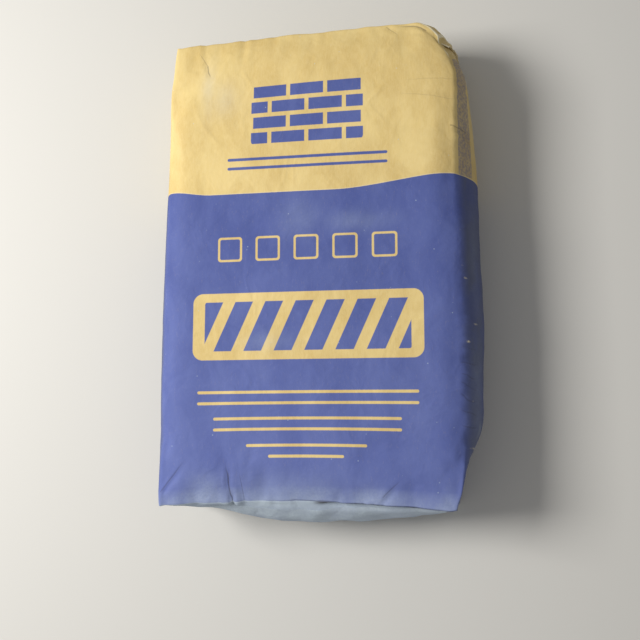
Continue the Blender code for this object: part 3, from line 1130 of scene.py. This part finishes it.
# %% Lay out the print
FIELD_TOP = 0.0795
FIELD_RISE = 0.0125
FIELD_RISE_FROM = 0.028
FIELD_PEAK = 0.158
FIELD_FALL = 0.07
FIELD_LEFT_RISE = 0.006
FIELD_LEFT_RUN = (-0.105, -0.160)
FIELD_RIM = 0.0012
BRICKWORK_MIDDLE = 0.166
BRICKWORK_HALF = (0.062, 0.0336)
BRICK_LENGTH = 0.0413
BRICK_HEIGHT = 0.0168
BRICK_JOINT = 0.0045
PANEL_MIDDLE = -0.066
PANEL_HALF = (0.124, 0.036)
PANEL_BORDER = (0.013, 0.0095)
BAR_SPACING = 0.0331
BAR_WIDTH = 0.0195
BAR_SLANT = 0.45
BAR_SOFTNESS = 0.012
SQUARES_ALONG = 0.018
SQUARE_PLACES = (-0.084, -0.042, 0.0, 0.042, 0.084)
SQUARE_HALF = 0.0135
SQUARE_LINE = 0.0024
RULES = ((0.118, 0.137), (0.118, 0.149), (0.100, 0.166), (0.100, 0.178), (0.064, 0.196), (0.040, 0.208))
RULE_HALF = 0.0016
TOP_RULES = ((0.088, 0.118), (0.088, 0.108))
SIDE_STRIP = (0.1760, 0.158)
SIDE_STRIP_HALF = (0.0110, 0.066)
SIDE_MOTTLE = 380.0
INK_WANDER = 0.0004


def make_print_group():
    tree, _, out = new_group("Sack print", [], [("Ink", FLOAT), ("Side Ink", FLOAT), ("Rim", FLOAT)])
    place = use_group(tree, places_group)
    wander = wandering(tree, place["Place"], 900.0, 2.0)
    across = maths(tree, "MULTIPLY_ADD", wander, INK_WANDER, place["Round"])
    along = maths(tree, "MULTIPLY_ADD", wander, INK_WANDER, place["Along"])

    def block(middle, half, corner):
        return use_group(
            tree, block_group, Across=across, Along=along, Middle_Across=middle[0],
            Middle_Along=middle[1], Half_Width=half[0], Half_Height=half[1], Corner=corner,
        )["Mask"]

    rise = remap(tree, across, FIELD_RISE_FROM, FIELD_PEAK, 0.0, FIELD_RISE)
    past_peak = maths(tree, "MAXIMUM", maths(tree, "SUBTRACT", across, FIELD_PEAK), 0.0)
    left_rise = remap(tree, across, *FIELD_LEFT_RUN, 0.0, FIELD_LEFT_RISE)
    edge = maths(tree, "ADD", maths(tree, "ADD", rise, left_rise), FIELD_TOP)
    edge = maths(tree, "MULTIPLY_ADD", past_peak, -FIELD_FALL, edge)
    above = maths(tree, "SUBTRACT", along, edge)
    field = remap(tree, above, -INK_SOFTNESS, INK_SOFTNESS, 1.0, 0.0)
    rim = product(tree, remap(tree, above, 0.0, FIELD_RIM, 1.0, 0.0), inverse(tree, field))

    bricks = use_group(
        tree, brickwork_group, Across=across,
        Along=maths(tree, "SUBTRACT", along, BRICKWORK_MIDDLE - BRICKWORK_HALF[1]),
        Brick_Length=BRICK_LENGTH, Brick_Height=BRICK_HEIGHT, Joint=BRICK_JOINT,
    )["Mask"]
    brickwork = product(tree, bricks, block((0.0, BRICKWORK_MIDDLE), BRICKWORK_HALF, 0.006))

    slanted = maths(tree, "MULTIPLY_ADD", along, -BAR_SLANT, across)
    cycle = maths(tree, "FRACT", maths(tree, "DIVIDE", slanted, BAR_SPACING))
    past_bar = maths(tree, "SUBTRACT", from_half(tree, cycle), BAR_WIDTH / BAR_SPACING / 2)
    bars = remap(tree, past_bar, -BAR_SOFTNESS, BAR_SOFTNESS, 1.0, 0.0)
    panel_middle = (0.0, PANEL_MIDDLE)
    window_half = (PANEL_HALF[0] - PANEL_BORDER[0], PANEL_HALF[1] - PANEL_BORDER[1])
    window = product(tree, bars, block(panel_middle, window_half, 0.002))
    panel = product(tree, block(panel_middle, PANEL_HALF, 0.011), inverse(tree, window))

    squares = []
    for middle in SQUARE_PLACES:
        spot = (middle, SQUARES_ALONG)
        inner = SQUARE_HALF - SQUARE_LINE
        hole = inverse(tree, block(spot, (inner, inner), 0.002))
        squares.append(product(tree, block(spot, (SQUARE_HALF, SQUARE_HALF), 0.0035), hole))
    rules = [block((0.0, -place_down), (half, RULE_HALF), RULE_HALF) for half, place_down in RULES]
    dark_rules = [block((0.0, up), (half, RULE_HALF), RULE_HALF) for half, up in TOP_RULES]
    pale = largest(tree, panel, *squares, *rules)
    ink = largest(tree, product(tree, field, inverse(tree, pale)), brickwork, *dark_rules)

    mottle = remap(tree, noise_node(tree, place["Place"], SIDE_MOTTLE, 3.0), 0.36, 0.64, 0.45, 1.0)
    wire(tree, ink, out.inputs["Ink"])
    wire(tree, product(tree, block(SIDE_STRIP, SIDE_STRIP_HALF, 0.001), mottle), out.inputs["Side Ink"])
    wire(tree, rim, out.inputs["Rim"])
    return tree


print_group = make_print_group()
print("group:", print_group.name, "with", len(print_group.nodes), "nodes")

# %% [markdown]
# ## Kraft fibres
#
# Kraft is unbleached pulp: a warm brown sheet with darker and paler fibres lying mostly along the
# tube, and a cloudy look where the pulp lay thicker. Two noises stretched along the sack give the
# fibres and one broad noise gives the clouds. The same group gives the height for the bump.

# %% Make the kraft fibre group
FIBRE_STRETCH = (1.0, 0.20, 1.0)
CLOUD_STRETCH = (1.0, 0.55, 1.0)


def make_fibre_group():
    tree, given, out = new_group("Kraft fibres", [
        ("Place", VECTOR, None), ("Fibres", FLOAT, 900.0), ("Clouds", FLOAT, 30.0),
    ], [("Tone", FLOAT), ("Clouds", FLOAT), ("Height", FLOAT)])
    place = given["Place"]
    long_fibres = noise_node(tree, stretched(tree, place, FIBRE_STRETCH), given["Fibres"], 3.0, 0.65)
    flecks = noise_node(tree, place, product(tree, given["Fibres"], 1.7), 2.0, 0.7)
    clouds = noise_node(tree, stretched(tree, place, CLOUD_STRETCH), given["Clouds"], 5.0, 0.6, 0.4)
    both = maths(tree, "MULTIPLY_ADD", long_fibres, 0.6, product(tree, flecks, 0.4))
    wire(tree, remap(tree, both, 0.34, 0.66), out.inputs["Tone"])
    wire(tree, remap(tree, clouds, 0.3, 0.7), out.inputs["Clouds"])
    wire(tree, both, out.inputs["Height"])
    return tree


fibre_group = make_fibre_group()
print("group:", fibre_group.name)

# %% [markdown]
# ## Crumpled paper
#
# Handled paper breaks into small facets with soft ridges between them. Noise folded at its middle
# value has such ridges, without the even cells of a Voronoi texture. Two sizes are added, and the
# sum is the height of a bump.

# %% Make the crumple group
def make_crumple_group():
    tree, given, out = new_group("Crumpled paper", [
        ("Place", VECTOR, None), ("Scale", FLOAT, 22.0),
    ], [("Height", FLOAT)])
    ridges = []
    for share, distortion in ((1.0, 0.8), (2.7, 0.5)):
        texture = noise_node(tree, given["Place"], product(tree, given["Scale"], share), 2.0, 0.5, distortion)
        ridges.append(remap(tree, from_half(tree, texture), 0.0, 0.16, 1.0, 0.0))
    wire(tree, maths(tree, "MULTIPLY_ADD", ridges[1], 0.35, ridges[0]), out.inputs["Height"])
    return tree


crumple_group = make_crumple_group()
print("group:", crumple_group.name)

# %% [markdown]
# ## Sharp creases
#
# Where paper was folded over and flattened again a thin valley stays, far thinner than the mesh's
# squares. Its shade is painted as a dark line, and the same mask gives a bump. One line is the painted
# shadow in the gap under the lip. Each line is a distance from a straight course between two places
# on the sheet, fading towards its end, and noise keeps it from being straight. Short lines between the
# right shoulder's ribs, painted shade as well, repeat instead. Blender has little room for a shader's
# sums, so what never changes over the surface is worked out here, and each line takes only a few nodes.

# %% Make the sharp crease group
CREASE_WANDER = 0.0028
CREASE_ENDS = (-0.05, 0.0, 0.55, 1.0)
SHARP_CREASE_AND_SHADOW_LINES = (
    # start, end, width, strength
    ((-0.1165, 0.2290), (-0.1105, 0.2130), 0.0010, 0.75),
    ((-0.1165, 0.2290), (-0.1310, 0.2490), 0.0008, 0.45),
    ((-0.0797, -0.2575), (-0.0862, -0.2120), 0.0011, 0.95),
    ((-0.0670, -0.2575), (-0.0715, -0.2200), 0.0009, 0.45),
    ((-0.1590, -0.2410), (-0.1300, -0.2090), 0.0010, 0.60),
    ((0.0885, 0.2545), (0.1015, 0.2415), 0.0009, 0.55),
    ((0.1380, 0.2505), (0.0980, 0.2550), 0.0015, 0.85),
    ((0.0802, -0.2486), (0.0985, -0.2300), 0.0010, 0.50),
    ((0.1566, 0.1434), (0.1870, 0.1370), 0.0010, 0.70),
    ((0.1580, 0.1700), (0.0950, 0.1800), 0.0008, 0.25),
    ((0.1580, 0.1910), (0.1000, 0.1915), 0.0008, 0.22),
    # the last line is no crease: it is the painted shadow in the gap under the lip
    ((0.1590, -0.2566), (-0.0600, -0.2566), 0.0017, 1.00),
)
RIB_LINE_STEP = 0.0127
RIB_LINE_WIDTH = 0.0011
RIB_LINE_SHIFT = 0.034
RIB_LINES_ALONG = (-0.190, -0.178, -0.100, -0.085)
RIB_LINES_ACROSS = (0.1600, 0.1640, 0.1740, 0.1820)
RIB_LINE_STRENGTH = 0.45


def make_creases_group():
    tree, _, out = new_group("Sharp creases", [], [("Mask", FLOAT)])
    place = use_group(tree, places_group)
    wander = wandering(tree, place["Place"], 70.0, 2.0)
    across = maths(tree, "MULTIPLY_ADD", wander, CREASE_WANDER, place["Round"])
    along = maths(tree, "MULTIPLY_ADD", wander, CREASE_WANDER, place["Along"])

    def measured(origin, direction, unit):
        """How far the point lies from the origin in a direction, in units."""
        step_across, step_along = direction[0] / unit, direction[1] / unit
        shift = -origin[0] * step_across - origin[1] * step_along
        shifted = maths(tree, "MULTIPLY_ADD", across, step_across, shift)
        return maths(tree, "MULTIPLY_ADD", along, step_along, shifted)

    slow = wandering(tree, place["Place"], 26.0, 1.0)
    uneven_along = maths(tree, "MULTIPLY_ADD", slow, RIB_LINE_SHIFT, along)
    cycle = maths(tree, "FRACT", maths(tree, "DIVIDE", uneven_along, RIB_LINE_STEP))
    half_width = RIB_LINE_WIDTH / RIB_LINE_STEP
    rib = remap(tree, from_half(tree, cycle), 0.0, half_width, RIB_LINE_STRENGTH, 0.0)
    mask = product(tree, rib, within(tree, along, *RIB_LINES_ALONG), within(tree, across, *RIB_LINES_ACROSS))
    for start, end, width, strength in SHARP_CREASE_AND_SHADOW_LINES:
        way = Vector(end) - Vector(start)
        course = way.normalized()
        beside = maths(tree, "ABSOLUTE", measured(start, (-course.y, course.x), width))
        share = measured(start, course, way.length)
        line = remap(tree, beside, 0.0, 1.0, strength, 0.0)
        mask = largest(tree, mask, product(tree, line, within(tree, share, *CREASE_ENDS)))
    wire(tree, product(tree, mask, inverse(tree, place["On End"])), out.inputs["Mask"])
    return tree


creases_group = make_creases_group()
print("group:", creases_group.name, "with", len(creases_group.nodes), "nodes")

# %% [markdown]
# ## Cement dust
#
# Cement leaks as a grey powder. It lies thin over everything, thicker towards the bottom end, and in
# small pale specks where it was splashed or scuffed. The group gives one mask for the film and one
# for the specks, which each finish mixes over its colour and uses to dull its gloss.

# %% Make the dust group
SPECK_CELLS = 110.0
SPECK_SIZE = (0.03, 0.11)


def make_dust_group():
    tree, given, out = new_group("Cement dust", [
        ("Place", VECTOR, None), ("From Bottom", FLOAT, 0.2), ("Everywhere", FLOAT, 0.04),
        ("At Bottom", FLOAT, 0.5), ("Reach", FLOAT, 0.05), ("Evenness", FLOAT, 0.0),
    ], [("Film", FLOAT), ("Specks", FLOAT)])
    place = given["Place"]
    near = maths(tree, "DIVIDE", given["From Bottom"], given["Reach"])
    near = inverse(tree, maths(tree, "MINIMUM", near, 1.0))
    patches = noise_node(tree, place, 24.0, 6.0, 0.66, 0.5)
    grains = noise_node(tree, place, 420.0, 4.0, 0.7)
    cover = maths(tree, "MULTIPLY_ADD", near, given["At Bottom"], given["Everywhere"])
    cover = maths(tree, "ADD", cover, stored(tree, "smudge")["Fac"])
    patchy = remap(tree, patches, 0.30, 0.70, 0.35, 1.5)
    grainy = remap(tree, grains, 0.3, 0.7, 0.65, 1.25)
    uneven = product(tree, patchy, grainy)
    evened = maths(tree, "MULTIPLY_ADD", inverse(tree, uneven), given["Evenness"], uneven)
    wire(tree, maths(tree, "MINIMUM", product(tree, cover, evened), 1.0), out.inputs["Film"])
    cells = add_node(tree, "ShaderNodeTexVoronoi", {"Vector": place, "Scale": SPECK_CELLS}).outputs
    spots = remap(tree, cells["Distance"], *SPECK_SIZE, 1.0, 0.0)
    chosen = add_node(tree, "ShaderNodeSeparateColor", {0: cells["Color"]}).outputs[0]
    wire(tree, product(tree, spots, remap(tree, chosen, 0.80, 0.86)), out.inputs["Specks"])
    return tree


dust_group = make_dust_group()
print("group:", dust_group.name)

# %% [markdown]
# ## Rubbed paper
#
# The wear stored on the points is smooth. Real wear is ragged, because the fibres tear, so this
# group breaks it up with fine noise.

# %% Make the rubbed paper group
def make_rubbed_group():
    tree, given, out = new_group("Rubbed paper", [
        ("Place", VECTOR, None), ("Raggedness", FLOAT, 0.5),
    ], [("Mask", FLOAT)])
    worn = stored(tree, "wear")["Fac"]
    torn = wandering(tree, given["Place"], 520.0, 3.0, 0.65)
    ragged = maths(tree, "MULTIPLY_ADD", torn, given["Raggedness"], worn)
    only_where_worn = remap(tree, worn, 0.02, 0.12)
    wire(tree, product(tree, remap(tree, ragged, 0.22, 0.62), only_where_worn), out.inputs["Mask"])
    return tree


rubbed_group = make_rubbed_group()
print("group:", rubbed_group.name)

# %% [markdown]
# ## The printed paper
#
# One ink on kraft: where the ink lies the sheet is blue. Ink rubs off folds and ribs, where pale fibres
# show. The sides are greyer and darker, partly from grime of handling and stacking and partly as painted
# shade, and the dark lines in creases and under the lip are painted shade. The colours are linear
# values, matched to the picture under this light.

# %% Make the printed paper
KRAFT = (0.705, 0.545, 0.225, 1.0)
KRAFT_DARK = (0.585, 0.425, 0.148, 1.0)
KRAFT_FIBRE = (0.800, 0.660, 0.360, 1.0)
INK = (0.056, 0.081, 0.290, 1.0)
INK_THIN = (0.106, 0.140, 0.390, 1.0)
SIDE_INK = (0.205, 0.185, 0.245, 1.0)
# dark grey mixed into the sides: grime, and painted shade as well
SIDE_GRIME_AND_SHADE = (0.088, 0.094, 0.098, 1.0)
# dark colour for painted shade: crease lines, rib lines and the gap under the lip
PAINTED_SHADE = (0.060, 0.058, 0.070, 1.0)
DUST = (0.515, 0.610, 0.700, 1.0)
TORN_FIBRE = (0.840, 0.760, 0.540, 1.0)
SPECULAR = 0.16
CRUMPLE_BUMP = 0.24
FIBRE_BUMP = 0.30
CREASE_BUMP = 1.5
RIM_SHARE = 0.55
SIDE_INK_SHARE = 0.74
SPECK_SHARE = 0.45
END_DUST = 0.85
CREASE_SHADE_SHARE = 0.60
SIDE_GRIME_AND_SHADE_SHARE = 0.42
SIDE_GRIME_AND_SHADE_FROM_TO = (0.001, 0.014)
INK_THINS_FROM_TO = (0.060, -0.200)
LIP_SHADE_ACROSS = (0.002, 0.016, 0.140, 0.158)
LIP_SHADE_DOWN = (0.0012, 0.0046)


def new_material(name):
    material = bpy.data.materials.new(name)
    material.use_nodes = True
    shader = material.node_tree.nodes["Principled BSDF"]
    shader.inputs["Specular IOR Level"].default_value = SPECULAR
    return material, material.node_tree, shader


def paper_surface(tree, shader, colour, fibres, crumple, film):
    """Wires a paper's colour, its gloss, which dust dulls, and its bump."""
    wire(tree, colour, shader.inputs["Base Color"])
    wire(tree, remap(tree, film, 0.0, 0.6, 0.68, 0.92), shader.inputs["Roughness"])
    coarse = add_node(tree, "ShaderNodeBump", {
        "Height": crumple, "Strength": CRUMPLE_BUMP, "Distance": 0.0010,
    })
    fine = add_node(tree, "ShaderNodeBump", {
        "Height": fibres, "Strength": FIBRE_BUMP, "Distance": 0.0003, "Normal": coarse.outputs[0],
    })
    wire(tree, fine.outputs[0], shader.inputs["Normal"])


def pulp_colour(tree, fibres, dark, pale, fibre_share):
    """Cloudy between two tones, with some paler fibres."""
    colour = mix_colour(tree, fibres["Clouds"], dark, pale)
    return mix_colour(tree, product(tree, fibres["Tone"], fibre_share), colour, KRAFT_FIBRE)


def paper_parts(tree, crumple_scale, **dust_amounts):
    """What every paper here has: its place, fibres, height of crumples, dust and rubbed parts."""
    place = use_group(tree, places_group)
    where = place["Place"]
    fibres = use_group(tree, fibre_group, Place=where)
    crumple = use_group(tree, crumple_group, Place=where, Scale=crumple_scale)["Height"]
    dust = use_group(tree, dust_group, Place=where, From_Bottom=place["From Bottom"], **dust_amounts)
    rubbed = use_group(tree, rubbed_group, Place=where)["Mask"]
    return place, fibres, crumple, dust, rubbed


def make_printed_paper():
    material, tree, shader = new_material("printed sack paper")
    place, fibres, crumple, dust, rubbed = paper_parts(
        tree, 22.0, Everywhere=0.035, At_Bottom=0.27, Reach=0.018, Evenness=0.6
    )
    ink = use_group(tree, print_group)
    kraft = pulp_colour(tree, fibres, KRAFT_DARK, KRAFT, 0.25)
    kraft = mix_colour(tree, product(tree, ink["Rim"], RIM_SHARE), kraft, TORN_FIBRE)
    lower_down = remap(tree, place["Along"], *INK_THINS_FROM_TO)
    thin = product(tree, maths(tree, "ADD", fibres["Clouds"], lower_down), 0.5)
    blue = mix_colour(tree, thin, INK, INK_THIN)
    cover = product(tree, ink["Ink"], remap(tree, fibres["Tone"], 0.85, 1.0, 1.0, 0.93))
    colour = mix_colour(tree, cover, kraft, blue)
    colour = mix_colour(tree, product(tree, ink["Side Ink"], SIDE_INK_SHARE), colour, SIDE_INK)
    # grime and painted shade: the sides beside the front are darkened, more where inked
    grime_and_shade_beside_front = remap(tree, place["Down"], *SIDE_GRIME_AND_SHADE_FROM_TO, 0.0, SIDE_GRIME_AND_SHADE_SHARE)
    cloudy = remap(tree, fibres["Clouds"], 0.0, 1.0, 0.7, 1.2)
    grime_and_shade = product(tree, grime_and_shade_beside_front, inverse(tree, place["On End"]), cloudy)
    grime_and_shade = product(tree, grime_and_shade, maths(tree, "MULTIPLY_ADD", cover, 1.05, 0.20))
    colour = mix_colour(tree, grime_and_shade, colour, SIDE_GRIME_AND_SHADE)
    creases = use_group(tree, creases_group)["Mask"]
    film = largest(tree, dust["Film"], product(tree, dust["Specks"], SPECK_SHARE))
    bottom = product(tree, place["On End"], maths(tree, "LESS_THAN", place["Along"], 0.0), END_DUST)
    film = largest(tree, film, product(tree, bottom, remap(tree, fibres["Clouds"], 0.0, 1.0, 0.88, 1.06)))
    colour = mix_colour(tree, film, colour, DUST)
    # painted shade along the crease lines, the rib lines and the lip's gap
    colour = mix_colour(tree, product(tree, creases, CREASE_SHADE_SHARE), colour, PAINTED_SHADE)
    # painted shadow in the gap under the lip, on the bottom end
    across_lip = within(tree, place["Across"], *LIP_SHADE_ACROSS)
    below_lip = remap(tree, place["Down"], *LIP_SHADE_DOWN, 1.0, 0.0)
    under_lip = product(tree, bottom, across_lip, below_lip)
    colour = mix_colour(tree, under_lip, colour, PAINTED_SHADE)
    colour = mix_colour(tree, rubbed, colour, TORN_FIBRE)
    height = maths(tree, "MULTIPLY_ADD", creases, -CREASE_BUMP, crumple)
    paper_surface(tree, shader, colour, fibres["Height"], height, film)
    return material


printed_paper = make_printed_paper()
print("material:", printed_paper.name)

# %% [markdown]
# ## The cover sheets and the valve
#
# The covers are plain sheets of the same mill: the bottom one blue and grey with cement, the top one
# bare. The valve sleeve is a paler, softer paper, frayed at its mouth. The same groups do all
# three, with other colours and amounts.

# %% Make the plain papers
SLEEVE_PALE = (0.780, 0.680, 0.460, 1.0)
SLEEVE_DARK = (0.660, 0.550, 0.340, 1.0)


def make_plain_paper(name, pale, dark, dust_cover, evenness=0.0):
    material, tree, shader = new_material(name)
    _, fibres, crumple, dust, rubbed = paper_parts(
        tree, 30.0, Everywhere=dust_cover, At_Bottom=0.0, Evenness=evenness
    )
    colour = pulp_colour(tree, fibres, dark, pale, 0.15)
    colour = mix_colour(tree, dust["Film"], colour, DUST)
    colour = mix_colour(tree, rubbed, colour, TORN_FIBRE)
    paper_surface(tree, shader, colour, fibres["Height"], crumple, dust["Film"])
    return material


bottom_paper = make_plain_paper("dusty blue cover paper", INK_THIN, INK, 0.84, 0.75)
top_paper = make_plain_paper("bare kraft cover paper", KRAFT, KRAFT_DARK, 0.12)
sleeve_paper = make_plain_paper("pale valve paper", SLEEVE_PALE, SLEEVE_DARK, 0.10)
print("materials:", bottom_paper.name + ",", top_paper.name + ",", sleeve_paper.name)

# %% [markdown]
# ## Dress the pieces
# Each piece gets its paper and is hung from the root body, and the solid of the model that it stands
# for is hidden, so the piece takes its place. The sack itself is declared as padded: a soft cover, tight with
# what fills it.

# %% Give out the materials
refined.materials.clear()
refined.shade_smooth()
for piece, node, slot, material in (
    (sack, "sack_body", "printed_paper", printed_paper),
    (bottom_cover, "bottom_cover_sheet", "bottom_cover_paper", bottom_paper),
    (top_cover, "top_cover_sheet", "top_cover_paper", top_paper),
    (valve_mouth, "valve_sleeve", "sleeve_paper", sleeve_paper),
):
    piece.data.materials.append(material)
    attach(piece, "root")
    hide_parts(node)
print("dressed", len(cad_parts), "nodes")

# %% [markdown]
# ## The floor
#
# A plain pale floor, so that nothing competes with the sack.

# %% Lay the floor
FLOOR_HALF = 3.0
FLOOR_TONE = (0.60, 0.60, 0.59, 1.0)
FLOOR_ROUGHNESS = 0.8

floor_corners = [(x, y, 0) for x, y in np.array(SQUARE) * FLOOR_HALF]
floor = mesh_object("floor", floor_corners, [[0, 1, 2, 3]])
floor_material, _, floor_shader = new_material("pale floor")
floor_shader.inputs["Base Color"].default_value = FLOOR_TONE
floor_shader.inputs["Roughness"].default_value = FLOOR_ROUGHNESS
floor.data.materials.append(floor_material)
print("floor", 2 * FLOOR_HALF, "m wide")
